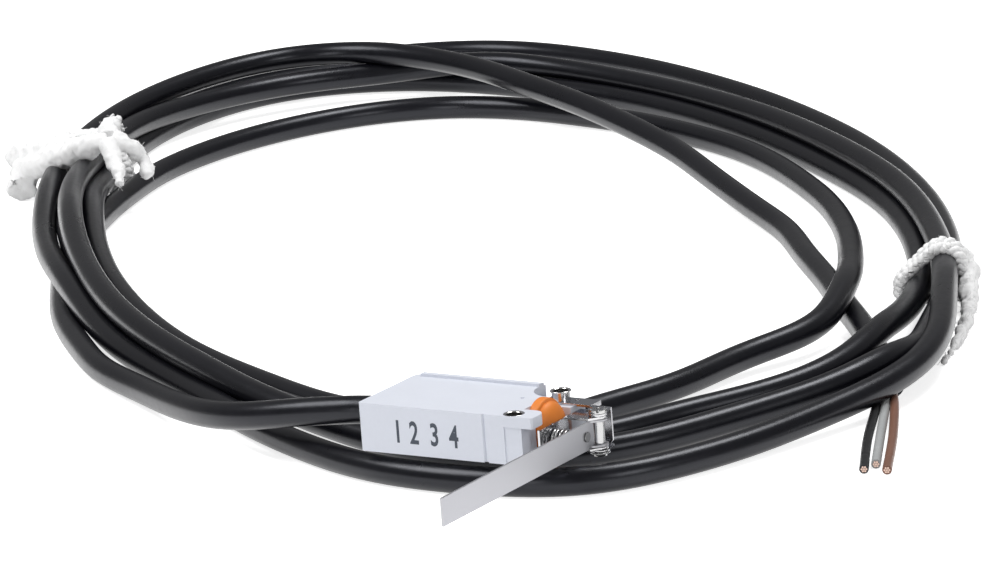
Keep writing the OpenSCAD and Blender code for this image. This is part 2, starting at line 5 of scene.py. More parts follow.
import bmesh
import bpy
import numpy as np
from mathutils import Matrix, Vector, noise


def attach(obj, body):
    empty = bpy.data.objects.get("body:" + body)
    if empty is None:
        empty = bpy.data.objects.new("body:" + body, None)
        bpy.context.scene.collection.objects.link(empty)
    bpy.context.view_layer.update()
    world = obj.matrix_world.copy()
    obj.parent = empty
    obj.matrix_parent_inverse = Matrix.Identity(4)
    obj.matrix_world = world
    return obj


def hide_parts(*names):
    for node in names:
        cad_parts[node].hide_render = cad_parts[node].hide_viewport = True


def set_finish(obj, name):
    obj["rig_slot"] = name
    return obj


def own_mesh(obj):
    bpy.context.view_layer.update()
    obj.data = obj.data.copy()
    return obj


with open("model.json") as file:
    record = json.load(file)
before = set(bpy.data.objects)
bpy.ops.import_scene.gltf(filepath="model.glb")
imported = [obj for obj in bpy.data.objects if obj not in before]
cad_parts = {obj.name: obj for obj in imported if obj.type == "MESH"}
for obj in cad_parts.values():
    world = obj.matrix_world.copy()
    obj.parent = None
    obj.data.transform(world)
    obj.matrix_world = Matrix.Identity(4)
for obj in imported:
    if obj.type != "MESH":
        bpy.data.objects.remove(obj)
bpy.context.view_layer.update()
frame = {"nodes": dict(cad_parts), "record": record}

mm = 0.001
nodes = frame["nodes"]
rootBody = "housing_unit"
print("stage: frame loaded,", len(nodes), "nodes")


# Steps that several pieces share

def newObject(name, data):
    made = bpy.data.objects.new(name, data)
    bpy.context.scene.collection.objects.link(made)
    return made


def makeActive(piece):
    bpy.ops.object.select_all(action="DESELECT")
    piece.select_set(True)
    bpy.context.view_layer.objects.active = piece


def asMesh(piece):
    makeActive(piece)
    bpy.ops.object.convert(target="MESH")
    return bpy.context.object


def smoothed(piece, angle=40):
    makeActive(piece)
    bpy.ops.object.shade_smooth_by_angle(angle=math.radians(angle))


def applied(piece, name, kind, **values):
    modifier = piece.modifiers.new(name, kind)
    for key, value in values.items():
        setattr(modifier, key, value)
    bpy.ops.object.modifier_apply(modifier=name)


def joined(name, pieces):
    makeActive(pieces[0])
    for piece in pieces:
        piece.select_set(True)
    bpy.ops.object.join()
    pieces[0].name = name
    pieces[0].data.name = name
    return pieces[0]


def belongs(piece, body, slot, *replaced):
    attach(piece, body)
    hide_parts(*replaced)
    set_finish(piece, slot)


def newMaterial(name):
    material = bpy.data.materials.new(name)
    material.use_nodes = True
    material.node_tree.nodes.clear()
    return material


def addNode(tree, kind, **values):
    node = tree.nodes.new(kind)
    for key, value in values.items():
        setattr(node, key, value)
    return node


def setInputs(node, values):
    for socket, value in values.items():
        node.inputs[socket].default_value = value


def connect(tree, *links):
    for source, output, target, socket in links:
        tree.links.new(source.outputs[output], target.inputs[socket])


# Camera and studio

view = {
    "place": (709.65 * mm, -1122.9 * mm, 376.8 * mm),
    "turn": 32.346,      # degrees from straight along +Y
    "dip": 14.0,
    "roll": 4.2,
    "lens": 204.57,
    "sensor": 36.0,
    "farthest": 20,      # metres
}


def setCamera():
    turn, dip, roll = (math.radians(view[k]) for k in ("turn", "dip", "roll"))
    ahead = Vector((-math.sin(turn) * math.cos(dip), math.cos(turn) * math.cos(dip), -math.sin(dip)))
    level = Vector((math.cos(turn), math.sin(turn), 0))
    down = ahead.cross(level)
    right = math.cos(roll) * level + math.sin(roll) * down
    up = math.sin(roll) * level - math.cos(roll) * down
    camera = newObject("camera", bpy.data.cameras.new("camera"))
    camera.data.lens = view["lens"]
    camera.data.sensor_width = view["sensor"]
    camera.data.sensor_fit = "HORIZONTAL"
    camera.data.clip_end = view["farthest"]
    turned = Matrix((right, up, -ahead)).transposed().to_4x4()
    camera.matrix_world = Matrix.Translation(Vector(view["place"])) @ turned
    bpy.context.scene.camera = camera


studio = {
    "floorSize": 6.0,
    "floorHeight": -9.0 * mm,
    "floorColor": 0.86,
    "floorGlow": 0.75,
    "worldLevel": 0.3,
    "lamps": {   # place, aim, size and watts of each soft lamp
        "keyLamp": ((-0.9, -0.5, 1.5), (-0.1, 0.15, 0), 0.9, 20),
        "topLamp": ((0.2, 0.9, 1.7), (-0.1, 0.2, 0), 0.7, 19),
        "sideLamp": ((1.5, -0.4, 0.7), (-0.05, 0.1, 0), 0.6, 5),
        "frontLamp": ((0.1, -1.7, 0.5), (-0.03, 0, 0), 0.7, 5.5),
    },
}


def addFloor():
    bpy.ops.object.select_all(action="DESELECT")
    bpy.ops.mesh.primitive_plane_add(size=studio["floorSize"], location=(0, 0, studio["floorHeight"]))
    floor = bpy.context.object
    floor.name = "floor"
    material = newMaterial("paleFloor")
    tree = material.node_tree
    output = addNode(tree, "ShaderNodeOutputMaterial")
    diffuse = addNode(tree, "ShaderNodeBsdfDiffuse")
    glow = addNode(tree, "ShaderNodeEmission")
    both = addNode(tree, "ShaderNodeAddShader")
    path = addNode(tree, "ShaderNodeLightPath")
    direct = addNode(tree, "ShaderNodeMath", operation="MAXIMUM")
    seen = addNode(tree, "ShaderNodeMath", operation="MAXIMUM")
    level = addNode(tree, "ShaderNodeMath", operation="MULTIPLY")
    setInputs(diffuse, {"Color": (*[studio["floorColor"]] * 3, 1)})
    setInputs(level, {1: studio["floorGlow"]})
    connect(tree,
            (path, "Is Camera Ray", direct, 0),
            (path, "Is Glossy Ray", direct, 1),
            (direct, 0, seen, 0),
            (path, "Is Transmission Ray", seen, 1),
            (seen, 0, level, 0),
            (level, 0, glow, "Strength"),
            (diffuse, 0, both, 0),
            (glow, 0, both, 1),
            (both, 0, output, "Surface"))
    floor.data.materials.append(material)


def addWorld():
    world = bpy.data.worlds.new("studio")
    bpy.context.scene.world = world
    world.use_nodes = True
    tree = world.node_tree
    tree.nodes.clear()
    output = addNode(tree, "ShaderNodeOutputWorld")
    fill = addNode(tree, "ShaderNodeBackground")
    backdrop = addNode(tree, "ShaderNodeBackground")
    path = addNode(tree, "ShaderNodeLightPath")
    mix = addNode(tree, "ShaderNodeMixShader")
    setInputs(fill, {"Strength": studio["worldLevel"]})
    connect(tree,
            (path, "Is Camera Ray", mix, 0),
            (fill, 0, mix, 1),
            (backdrop, 0, mix, 2),
            (mix, 0, output, "Surface"))


def addLamps():
    for name, (place, aim, size, watts) in studio["lamps"].items():
        lamp = newObject(name, bpy.data.lights.new(name, "AREA"))
        lamp.data.size = size
        lamp.data.energy = watts
        lamp.location = place
        lamp.rotation_euler = (Vector(aim) - Vector(place)).to_track_quat("-Z", "Y").to_euler()


setCamera()
addFloor()
addWorld()
addLamps()
bpy.context.scene.view_settings.view_transform = "Standard"
print("stage: camera and studio set")


# The cable: its lead, four turns and free end, all one length

cable = {
    "diameter": 7.2 * mm,
    "exit": (-43.4, 11.1, 6.15),
    "ground": -9.0,
    "sides": 24,
    # the oval that the turns are told from, with its stations numbered round it
    "loopCentre": (-141, 198),
    "loopAxes": (250, 108),
    "loopTurn": 129,
    "stations": 24,
    "lead": [
        (-49.4, 11.1, 6.15), (-57, 9, 6), (-68, 8, 5), (-84, 8.5, 3.5), (-94, 11.5, 2.5), (-110, 20, 0.5),
        (-134, 37, -3.5), (-151, 49, -5), (-167, 60, -5.4), (-192, 84, -5.4), (-210, 104, -5.4),
        (-225, 124, -5.4), (-239, 144, -5.4), (-254, 170, -5.4), (-266, 194, -5.4), (-276, 219, -5.4),
        (-286, 256, -5.4), (-288, 280, -5.4), (-286, 303, -5.4), (-280, 324, -5.4), (-268, 345, -5.4),
        (-248, 361, -5.4), (-221, 366, -5.4), (-188, 361, -5.4), (-162, 353, -5.4), (-131, 338, -5.4),
        (-108, 322, -5.4), (-85, 301, -5.4), (-61, 275, -5.4), (-41, 247, -4.5), (-26, 221, -3),
        (-13, 196, -1), (-4, 177, 1), (2, 160, 2), (5, 143, 1), (3, 131, -2), (-1.5, 122, -4.5),
        (-4, 108, -5.4), (-7, 92, -5.4), (-10.5, 79, -5.4), (-14.5, 70, -5.4)],
    # the turns run down from this station: how far outside the oval they lie and how high
    "firstStation": 14,
    "turns": [
        (-55.5, 3.6), (-57.5, 3.6), (-59.5, 3.6), (-62, 3.6), (-60, 3.6), (-34.5, 3.6),
        (-25, 3.6), (-15, 7.5), (-8, 11), (-4.5, 11), (-1.5, 8), (2.5, 4.5),
        (3, 3.6), (0.5, 3.6), (-5, 3.6), (-7, 3.6), (-5, 3.6), (2, 3.6),
        (8.5, 3.6), (14.5, 3.6), (19.5, 3.6), (17.5, 3.6), (11, 7), (1, 8.5),
        (-30, 3.6), (-39, 3.6), (-43, 3.6), (-40, 3.6), (-34, 3.6), (-24.5, 3.6),
        (-16.5, 4), (-7.5, 8), (-2, 11), (1.5, 11), (6, 8.5), (12.5, 5.5),
        (20, 4), (25.5, 3.6), (31, 3.6), (38, 3.6), (35, 3.6), (32.5, 3.6),
        (32, 3.6), (32, 3.6), (30, 3.6), (25.5, 3.6), (20, 6.5), (16, 9),
        (-13, 3.6), (-25.5, 3.6), (-29, 3.6), (-28.5, 3.6), (-24.5, 3.6), (-21, 4.5),
        (-12.5, 9.5), (-5, 16), (-1.5, 17), (0.5, 17), (1.5, 14.5), (2.5, 12),
        (-4, 11), (-13.5, 11), (-18.5, 11), (-13.5, 10.5), (-1, 10), (6.5, 10),
        (11.5, 10), (16, 10), (21, 10), (22, 10), (21, 10.5), (20.5, 12),
        (5, 4.5), (-3, 3.6), (-4, 3.6), (-6.5, 3.6), (-6, 3.6), (-8.5, 3.6),
        (-9.5, 4), (-1, 8), (4.5, 11), (8, 11), (11.5, 12.5), (10.5, 15.5),
        (5.5, 17.5), (-2, 18), (-15, 18), (-23.5, 18), (-29, 18), (-33, 18),
        (-30, 15.5), (-24, 10)],
    "stationSteps": 3,   # points made for each step of a station
    "end": [
        (-63.5, 249.5, -4.5), (-45.5, 228.5, -5.4), (-28, 207.5, -5.4), (-14.5, 191, -5.4),
        (-1, 173, -5.4), (10.5, 158.5, -5.4), (21, 144, -5.4), (32, 127.5, -5.4), (45, 106, -5.4)],
    "spacing": 5.0,      # mm between the points while the turns settle
    "fineSpacing": 3.0,
    "smoothings": 40,
    "lastSmoothings": 12,
    "easeBack": 1.04,    # how much of an easing is taken back, so that the long bends keep their size
    "firstEased": 3,     # points at the exit that no easing moves
    "settleSteps": 70,
    "ownReach": 2.5,     # thicknesses along the line within which a strand doesn't push itself
    "yielding": 0.35,    # share of an overlap that one step opens
    "mostPush": 0.7,     # mm in one step
    "leastApart": 0.1,   # mm
    "drift": 1.6,        # mm that a strand may settle sideways
    "driftEasings": 4,
    "sink": 0.08,        # mm that a strand sinks in the first step
    "firstLoose": 6,     # points at the exit that don't settle
}
lineSteps = 24           # points between two given ones before a line is evened out


def stationPoint(k, outwards, height):
    phi = 2 * math.pi * k / cable["stations"]
    turn = math.radians(cable["loopTurn"])
    along = Vector((math.cos(turn), math.sin(turn)))
    across = Vector((-math.sin(turn), math.cos(turn)))
    longAxis, shortAxis = cable["loopAxes"]
    tangent = (-longAxis * math.sin(phi) * along + shortAxis * math.cos(phi) * across).normalized()
    spot = Vector(cable["loopCentre"]) + longAxis * math.cos(phi) * along + shortAxis * math.sin(phi) * across
    spot += outwards * Vector((tangent.y, -tangent.x))
    return (spot.x, spot.y, cable["ground"] + height)


def curveThrough(points, steps):
    points = np.array(points, dtype=float)
    last = len(points) - 1
    t = np.linspace(0, 1, steps, endpoint=False)[:, None]
    runs = []
    for i in range(last):
        a, b, c, d = points[max(i - 1, 0)], points[i], points[i + 1], points[min(i + 2, last)]
        runs.append(0.5 * (2 * b + (c - a) * t + (2 * a - 5 * b + 4 * c - d) * t ** 2
                           + (3 * b - a - 3 * c + d) * t ** 3))
    return np.concatenate(runs + [points[-1:]])


def lengthsAlong(line):
    return np.concatenate([[0], np.cumsum(np.linalg.norm(np.diff(line, axis=0), axis=1))])


def evened(line, count, closed=False):
    along = lengthsAlong(line)
    even = np.linspace(0, along[-1], count, endpoint=not closed)
    return np.stack([np.interp(even, along, column) for column in line.T], axis=1)


def smoothLine(points, spacing):
    fine = curveThrough(points, lineSteps)
    return evened(fine, int(round(lengthsAlong(fine)[-1] / spacing)) + 1)


def cableGuide():
    steps = cable["stationSteps"]
    table = curveThrough(cable["turns"], steps).tolist()
    turns = [stationPoint(cable["firstStation"] - i / steps, *place) for i, place in enumerate(table)]
    return [cable["exit"], *cable["lead"], *turns, *cable["end"]]


def eased(values):
    middle = values.copy()
    middle[1:-1] = 0.5 * values[1:-1] + 0.25 * (values[:-2] + values[2:])
    return middle


def onGround(line, height):
    line[:, 2] = np.maximum(line[:, 2], cable["ground"] + height)
    return line


def settle(line, thick):
    # the strands make room for each other, mostly upwards, and sink back on the ground
    home = line.copy()
    index = np.arange(len(line))
    apart = np.abs(index[:, None] - index[None, :]) > cable["ownReach"] * thick / cable["spacing"]
    steps, loose = cable["settleSteps"], cable["firstLoose"]
    for step in range(steps):
        gap = line[:, None, :] - line[None, :, :]
        far = np.linalg.norm(gap, axis=2)
        push = np.where(apart & (far < thick), (thick - far) / np.maximum(far, cable["leastApart"]), 0.0)
        move = (gap * push[:, :, None]).sum(axis=1) * cable["yielding"]
        line = line + np.clip(move, -cable["mostPush"], cable["mostPush"])
        drift = line[:, :2] - home[:, :2]
        for _ in range(cable["driftEasings"]):
            drift = eased(drift)
        reach = np.maximum(np.linalg.norm(drift, axis=1, keepdims=True), 1e-6)
        line[:, :2] = home[:, :2] + drift * np.minimum(1, cable["drift"] / reach)
        line[:, 2] = eased(eased(eased(line[:, 2]))) - cable["sink"] * (1 - step / steps)
        line = onGround(line, thick / 2)
        line[:loose] = home[:loose]
    return line


def unkinked(line, rounds):
    # short kinks go and the long bends keep their size: each round eases the line and then eases back
    line = line.copy()
    free = slice(cable["firstEased"], -1)
    for _ in range(rounds):
        line[free] += (eased(line) - line)[free]
        line[free] -= cable["easeBack"] * (eased(line) - line)[free]
    return line


def cableLine():
    thick = cable["diameter"] / mm
    line = unkinked(smoothLine(cableGuide(), cable["spacing"]), cable["smoothings"])
    line = unkinked(settle(line, thick), cable["lastSmoothings"])
    return smoothLine(onGround(line, thick / 2), cable["fineSpacing"])


def tubesFromLines(name, lines, radius, sides, closed=False, radii=None):
    curve = bpy.data.curves.new(name, "CURVE")
    curve.dimensions = "3D"
    curve.bevel_depth = radius
    curve.bevel_resolution = (sides - 4) // 2
    curve.use_fill_caps = not closed
    curve.twist_mode = "Z_UP"
    for k, line in enumerate(lines):
        spline = curve.splines.new("POLY")
        spline.points.add(len(line) - 1)
        spline.use_cyclic_u = closed
        for i, place in enumerate(line):
            spline.points[i].co = (*place, 1)
            if radii is not None:
                spline.points[i].radius = radii[k][i]
    tube = asMesh(newObject(name, curve))
    smoothed(tube, 50)
    return tube


cablePath = cableLine() * mm
cableTube = tubesFromLines("cable", [cablePath], cable["diameter"] / 2, cable["sides"])


# The cores in the free end

cores = {
    "radius": 1.2,
    "sides": 20,
    "spacing": 0.8,
    "startOut": 1.3,     # mm from the sheath's axis, sideways and upwards
    "score": 10.0,       # mm from the tip to the scored ring
    "scoreWidth": 0.5,
    "scoreDepth": 0.14,  # share of the radius
    "strandRadius": 0.26,
    "strandSides": 10,
    "strandRing": 0.58,  # mm from the core's axis to the six outer strands
    "strandIn": 0.3,
    "strandOut": 0.3,
    "strandStep": 0.25,  # how much less the outer strands stand out
    "routes": {
        "black": [(45, 106, -5), (50, 92, -6.5), (60, 68, -7.8), (71.7, 43.8, -7.8)],
        "grey": [(45, 106, -5), (52, 93, -6.5), (62, 71, -7.8), (72.5, 48.6, -7.8)],
        "brown": [(45, 106, -5), (54, 94, -6.5), (65, 72, -7.8), (77.5, 44.8, -7.8)],
    },
    "angles": {"black": 180, "grey": 80, "brown": -20},   # round the sheath's axis, degrees
}


def coreLine(name):
    (x, y, z), *others = cores["routes"][name]
    angle = math.radians(cores["angles"][name])
    out, up = cores["startOut"] * math.cos(angle), cores["startOut"] * math.sin(angle)
    return smoothLine([(x + out, y + out, z + up), *others], cores["spacing"])


def coreTube(name):
    line = coreLine(name)
    left = np.linspace(len(line) - 1, 0, len(line)) * cores["spacing"]
    ring = np.exp(-((left - cores["score"]) / cores["scoreWidth"]) ** 2)
    radii = 1 - cores["scoreDepth"] * ring
    return tubesFromLines(name + "Core", [line * mm], cores["radius"] * mm, cores["sides"], radii=[radii])


def strandLines(name):
    line = coreLine(name)
    ahead = (line[-1] - line[-4]) / np.linalg.norm(line[-1] - line[-4])
    sideways = np.cross(ahead, (0, 0, 1))
    sideways /= np.linalg.norm(sideways)
    upwards = np.cross(sideways, ahead)
    spots = [(0, 0)] + [(cores["strandRing"], math.radians(60 * k)) for k in range(6)]
    rows = []
    for out, angle in spots:
        start = line[-1] + out * (math.cos(angle) * sideways + math.sin(angle) * upwards)
        reach = cores["strandOut"] * (1 - cores["strandStep"] * out)
        rows.append(np.array([start - cores["strandIn"] * ahead, start + reach * ahead]) * mm)
    return rows


coreTubes = {name: coreTube(name) for name in cores["routes"]}
copperStrands = tubesFromLines("copperStrands", [line for name in cores["routes"] for line in strandLines(name)],
                               cores["strandRadius"] * mm, cores["strandSides"])
print("stage: cores laid")


# The cotton ties round the turns

ties = {
    "leftTie": {
        "station": 3.75, "shifts": (-3.2, -1, 1.2, 3.4), "ply": 1.1, "seed": 5,
        "twists": 20, "lift": 1.6, "reach": (-8, 75),
        "mass": [   # line, first radius, last radius
            ([(-315.5, 228, -5), (-318.5, 234.5, -1), (-306, 228.5, 4), (-294.5, 226, 8), (-285, 225, 11)],
             4.6, 3.6),
            ([(-330.5, 246.5, 0), (-319.5, 239, 3), (-305.5, 232, 7), (-293, 228.5, 10), (-284.5, 226, 12)],
             4.0, 3.2),
            ([(-289, 224, 10), (-283, 223.5, 12), (-279.5, 225.5, 13)], 3.6, 2.6),
            ([(-282, 229, 13), (-285.5, 235, 14.5), (-285, 238.5, 15)], 3.0, 3.4),
            ([(-277.5, 223.5, 13), (-274.5, 219.5, 10), (-269.5, 215.5, 7), (-265.5, 209.5, 4)], 2.8, 1.5),
            ([(-279, 227, 13), (-274.5, 228.5, 11), (-273, 233, 7), (-268, 229, 2)], 3.0, 1.9)],
    },
    "rightTie": {
        "station": 16.53, "shifts": (-1, 1), "ply": 0.95, "seed": 9,
        "twists": 14, "lift": 1.3, "reach": (2, 60),
        "mass": [
            ([(14.5, 201, 5), (16, 203, 3.5), (18.5, 203.5, 1)], 2.4, 3.4),
            ([(16, 207.5, 1), (20.5, 203, -1.5), (24.5, 194, -4)], 3.4, 2.6),
            ([(23.5, 195.5, -4.5), (32, 179, -6), (39, 160.5, -7), (45, 138.5, -8)], 2.6, 0.7)],
    },
    "sides": 10,
    "ringPoints": 300,
    "stagger": 0.7,      # mm that every second ring stands further out
    "secondWave": 0.7,   # share of a ring's sway that comes twice round
    "plyOut": 0.8,       # plies from the cord's axis to each ply's own
    "swell": (-0.14, 0.2),
    "massSides": 16,
    "massSpacing": 1.2,
    "massRest": 0.8,     # radii from the ground to a strand's axis, at least
    "massUneven": (0.88, 1.08),
    "voxel": 0.55,
    "softenings": 8,
    "puff": ((0.2, 1.1), (0.5, 0.6)),   # cells per mm and height in mm of each lump size
    "fibres": 700,
    "ringFibres": 175,
    "fibreRadius": 0.05,
    "fibreSides": 4,
    "fibreLength": (0.5, 1.3),
    "fibreBend": 0.5,
    "fibreRest": 0.1,
}


def hull(points):
    points = sorted(map(tuple, points))

    def half(rows):
        chain = []
        for p in rows:
            while len(chain) > 1 and ((chain[-1][0] - chain[-2][0]) * (p[1] - chain[-2][1])
                                      <= (chain[-1][1] - chain[-2][1]) * (p[0] - chain[-2][0])):
                chain.pop()
            chain.append(p)
        return chain[:-1]
    return np.array(half(points) + half(points[::-1]))


def tieFrame(station):
    middle, before, after = (np.array(stationPoint(station + step, 0, 0)) for step in (0, -0.05, 0.05))
    ahead = (after - before) / np.linalg.norm(after - before)
    return middle, ahead, np.array([ahead[1], -ahead[0], 0])


def bundleLoop(middle, ahead, outward, shift, reach, grow):
    # the outline of the strands that cross the tie's plane, as one closed line
    line = cablePath / mm - middle
    side = line @ ahead - shift
    spots = []
    for i in np.nonzero(side[:-1] * side[1:] < 0)[0]:
        share = side[i] / (side[i] - side[i + 1])
        spot = line[i] + share * (line[i + 1] - line[i])
        if reach[0] < spot @ outward < reach[1]:
            spots.append((spot @ outward, spot[2]))
    radius = cable["diameter"] / mm / 2 + grow
    angles = np.linspace(0, 2 * math.pi, cable["sides"], endpoint=False)
    outline = hull([(o + radius * math.cos(a), z + radius * math.sin(a)) for o, z in spots for a in angles])
    return evened(np.vstack([outline, outline[:1]]), ties["ringPoints"], closed=True)


def twisted(ring, ply, twists, phase):
    # one ply of a two-ply cord along a closed line
    ahead = np.roll(ring, -1, axis=0) - np.roll(ring, 1, axis=0)
    ahead /= np.linalg.norm(ahead, axis=1, keepdims=True)
    sideways = np.cross(ahead, (0.31, 0.17, 0.93))   # a direction that no ring runs along
    sideways /= np.linalg.norm(sideways, axis=1, keepdims=True)
    upwards = np.cross(sideways, ahead)
    a = 2 * math.pi * twists * np.arange(len(ring))[:, None] / len(ring) + phase
    return ring + ply * ties["plyOut"] * (np.cos(a) * sideways + np.sin(a) * upwards)


def ringLines(values, rng):
    middle, ahead, outward = tieFrame(values["station"])
    u = np.linspace(0, 2 * math.pi, ties["ringPoints"], endpoint=False)
    rings = []
    for k, shift in enumerate(values["shifts"]):
        lift = values["lift"] + (ties["stagger"] if k % 2 else 0)
        loop = bundleLoop(middle, ahead, outward, shift, values["reach"], lift)
        wave = [rng.uniform(-1, 1) for _ in range(4)]
        sway = shift + wave[0] * np.sin(u + wave[1]) + ties["secondWave"] * wave[2] * np.sin(2 * u + wave[3])
        ring = middle + loop[:, :1] * outward + loop[:, 1:] * np.array([0, 0, 1.0]) + sway[:, None] * ahead
        rings += [twisted(ring, values["ply"], values["twists"], phase) for phase in (0, math.pi)]
    return [onGround(line, values["ply"]) for line in rings]


def massLines(values, rng):
    lines, radii = [], []
    for points, first, last in values["mass"]:
        line = smoothLine(points, ties["massSpacing"])
        size = np.linspace(first, last, len(line))
        lines.append(onGround(line, ties["massRest"] * size))
        radii.append([r * rng.uniform(*ties["massUneven"]) for r in size])
    return lines, radii


def softMass(name, lines, radii):
    # thick strands of loose cotton that run together into one soft lump
    piece = tubesFromLines(name, [line * mm for line in lines], mm, ties["massSides"], radii=radii)
    applied(piece, "fused", "REMESH", mode="VOXEL", voxel_size=ties["voxel"] * mm)
    applied(piece, "soft", "SMOOTH", iterations=ties["softenings"])
    for v in piece.data.vertices:
        push = sum(height * noise.noise(v.co / mm * cells) for cells, height in ties["puff"])
        v.co += v.normal * push * mm
    bpy.ops.object.shade_smooth()
    return piece


def fuzz(lines, count, rng):
    rows = []
    for _ in range(count):
        line = lines[rng.randrange(len(lines))]
        start = line[rng.randrange(len(line))]
        heading = np.array([rng.gauss(0, 1) for _ in range(3)])
        heading /= np.linalg.norm(heading)
        bend = np.array([rng.gauss(0, ties["fibreBend"]) for _ in range(3)])
        length = rng.uniform(*ties["fibreLength"])
        fibre = np.array([start + heading * length * t + bend * length * t * t for t in (0, 0.35, 0.7, 1)])
        rows.append(onGround(fibre, ties["fibreRest"]))
    return rows


def makeTie(name):
    values = ties[name]
    rng = random.Random(values["seed"])
    rings = ringLines(values, rng)
    swell = [[1 + rng.uniform(*ties["swell"]) for _ in line] for line in rings]
    band = tubesFromLines(name + "Band", [line * mm for line in rings], values["ply"] * mm, ties["sides"],
                          closed=True, radii=swell)
    mass = softMass(name + "Mass", *massLines(values, rng))
    skin = [np.array([v.co / mm for v in mass.data.vertices])]
    fibres = fuzz(rings, ties["ringFibres"], rng) + fuzz(skin, ties["fibres"], rng)
    hairs = tubesFromLines(name + "Fibres", [line * mm for line in fibres], ties["fibreRadius"] * mm,
                           ties["fibreSides"])
    return joined(name, [mass, band, hairs])


leftTie = makeTie("leftTie")
rightTie = makeTie("rightTie")
print("stage: ties wound")

belongs(cableTube, rootBody, "cable_sheath", "cable_lead", "cable_coil", "cable_end")
belongs(copperStrands, rootBody, "copper", "copper_ends")
belongs(leftTie, rootBody, "tie_cord", "left_tie")
belongs(rightTie, rootBody, "tie_cord", "right_tie")
for name, tube in coreTubes.items():
    belongs(tube, rootBody, "core_" + name, "tail_core_" + name)
cordPieces = [copperStrands, leftTie, rightTie, *coreTubes.values()]


# The switch: pieces that keep the solid's shape with their edges broken, and turned or wound ones

brokenEdges = {
    "weld": 0.002,       # mm
    "flat": 1,           # degrees between faces that are one
    "segments": 2,
    "bevelAngle": 38,
    "pieces": {   # new piece: node, width of its broken edges, body, slot
        "housingTub": ("housing_base", 0.22, rootBody, "housing"),
        "housingLid": ("housing_cover", 0.22, rootBody, "housing"),
        "bracket": ("lever_bracket", 0.14, rootBody, "polished_sheet"),
        "pin": ("hinge_pin", 0.14, rootBody, "pin_steel"),
        "pinFoot": ("pin_washer", 0.08, rootBody, "pin_steel"),
        "arm": ("lever_arm", 0.14, "arm_unit", "polished_sheet"),
        "blade": ("lever_blade", 0.14, "blade_unit", "blade_steel"),
        "rivet": ("blade_rivet", 0.12, "blade_unit", "pin_steel"),
    },
}

eyelet = {
    "bore": 2.0, "wall": 0.3, "flange": 2.7, "rim": 0.4, "height": 12.3, "pitch": 22.2,
    "mouth": 0.25,       # mm in from each end where the bore begins
    "lip": (0.05, 0.2),  # the mouth's upper edge: mm below the end, mm wider than the bore
    "curl": 8,           # points round each rolled rim
    "steps": 64,
}

boot = {
    "seat": 0.5, "axisY": 11.1, "axisZ": 6.3,
    "collar": (1.9, 7.0, 0.4),   # straight length, radius, rounding
    "neck": (2.35, 6.2),
    "dome": (2.4, 5.6, 6.2),     # start, tip, radius
    "inside": [(4.7, 0.001), (4.7, 2.6), (4.0, 3.4), (1.3, 3.6), (1.3, 3.2), (0, 3.2)],
    "domePoints": 18,
    "steps": 96,
    "clip": 0.2,         # height of its flat underside
    "keep": 0.8,
}

springs = {
    "closed": 1.1,       # wires that a closed end turn rises
    "steps": 32,
    "sides": 12,
    "returnSpring": {
        "node": "plunger_spring", "body": rootBody, "joint": "plunger_travel", "keep": 0.85,
        "x": -13.05, "y": 11.1, "z": 6.3, "length": 6, "d": 5, "wire": 0.5, "turns": 6},
    "bladeSpring": {
        "node": "overtravel_spring", "body": "arm_unit", "joint": "blade_overtravel", "keep": 0.68,
        "x": 6.85, "y": 7, "z": 4.2, "length": 5.6, "d": 6, "wire": 0.7, "turns": 5},
}

printed = {
    "digits": {"1": -32.2, "2": -27.5, "3": -21.6, "4": -16.0},
    "face": -2.9,
    "foot": 3.1,
    "size": 8.0,
    "bolder": 0.16,
    "thick": 0.015,
    "narrow": 0.68,
}


def dressed(name, node, width, body, slot):
    mesh = nodes[node].data.copy()
    mesh.materials.clear()
    shape = bmesh.new()
    shape.from_mesh(mesh)
    bmesh.ops.remove_doubles(shape, verts=shape.verts, dist=brokenEdges["weld"] * mm)
    bmesh.ops.dissolve_limit(shape, angle_limit=math.radians(brokenEdges["flat"]), verts=shape.verts,
                             edges=shape.edges)
    shape.to_mesh(mesh)
    shape.free()
    piece = newObject(name, mesh)
    makeActive(piece)
    applied(piece, "edges", "BEVEL", width=width * mm, segments=brokenEdges["segments"],
            limit_method="ANGLE", angle_limit=math.radians(brokenEdges["bevelAngle"]))
    smoothed(piece)
    applied(piece, "flat faces", "WEIGHTED_NORMAL", keep_sharp=True)
    belongs(piece, body, slot, node)
    return piece


def lathe(name, profile, place, steps):
    # a closed profile of (along, radius) points turned about the local X axis, then placed by a matrix
    shape = bmesh.new()
    rings = []
    for a in (2 * math.pi * j / steps for j in range(steps)):
        rings.append([shape.verts.new((x * mm, r * mm * math.cos(a), r * mm * math.sin(a))) for x, r in profile])
    count = len(profile)
    for near, far in zip(rings, rings[1:] + rings[:1]):
        for i in range(count):
            k = (i + 1) % count
            shape.faces.new((near[i], near[k], far[k], far[i]))
    bmesh.ops.remove_doubles(shape, verts=shape.verts, dist=0.001 * mm)
    bmesh.ops.recalc_face_normals(shape, faces=shape.faces)
    bmesh.ops.transform(shape, matrix=place, verts=shape.verts)
    mesh = bpy.data.meshes.new(name)
    shape.to_mesh(mesh)
    shape.free()
    piece = newObject(name, mesh)
    smoothed(piece)
    return piece


def roundEnd(x, r, size, start, end, count):
    # points on part of a circle, from start to end in degrees
    return [(x + size * math.sin(a), r + size * math.cos(a))
            for a in np.linspace(math.radians(start), math.radians(end), count)]


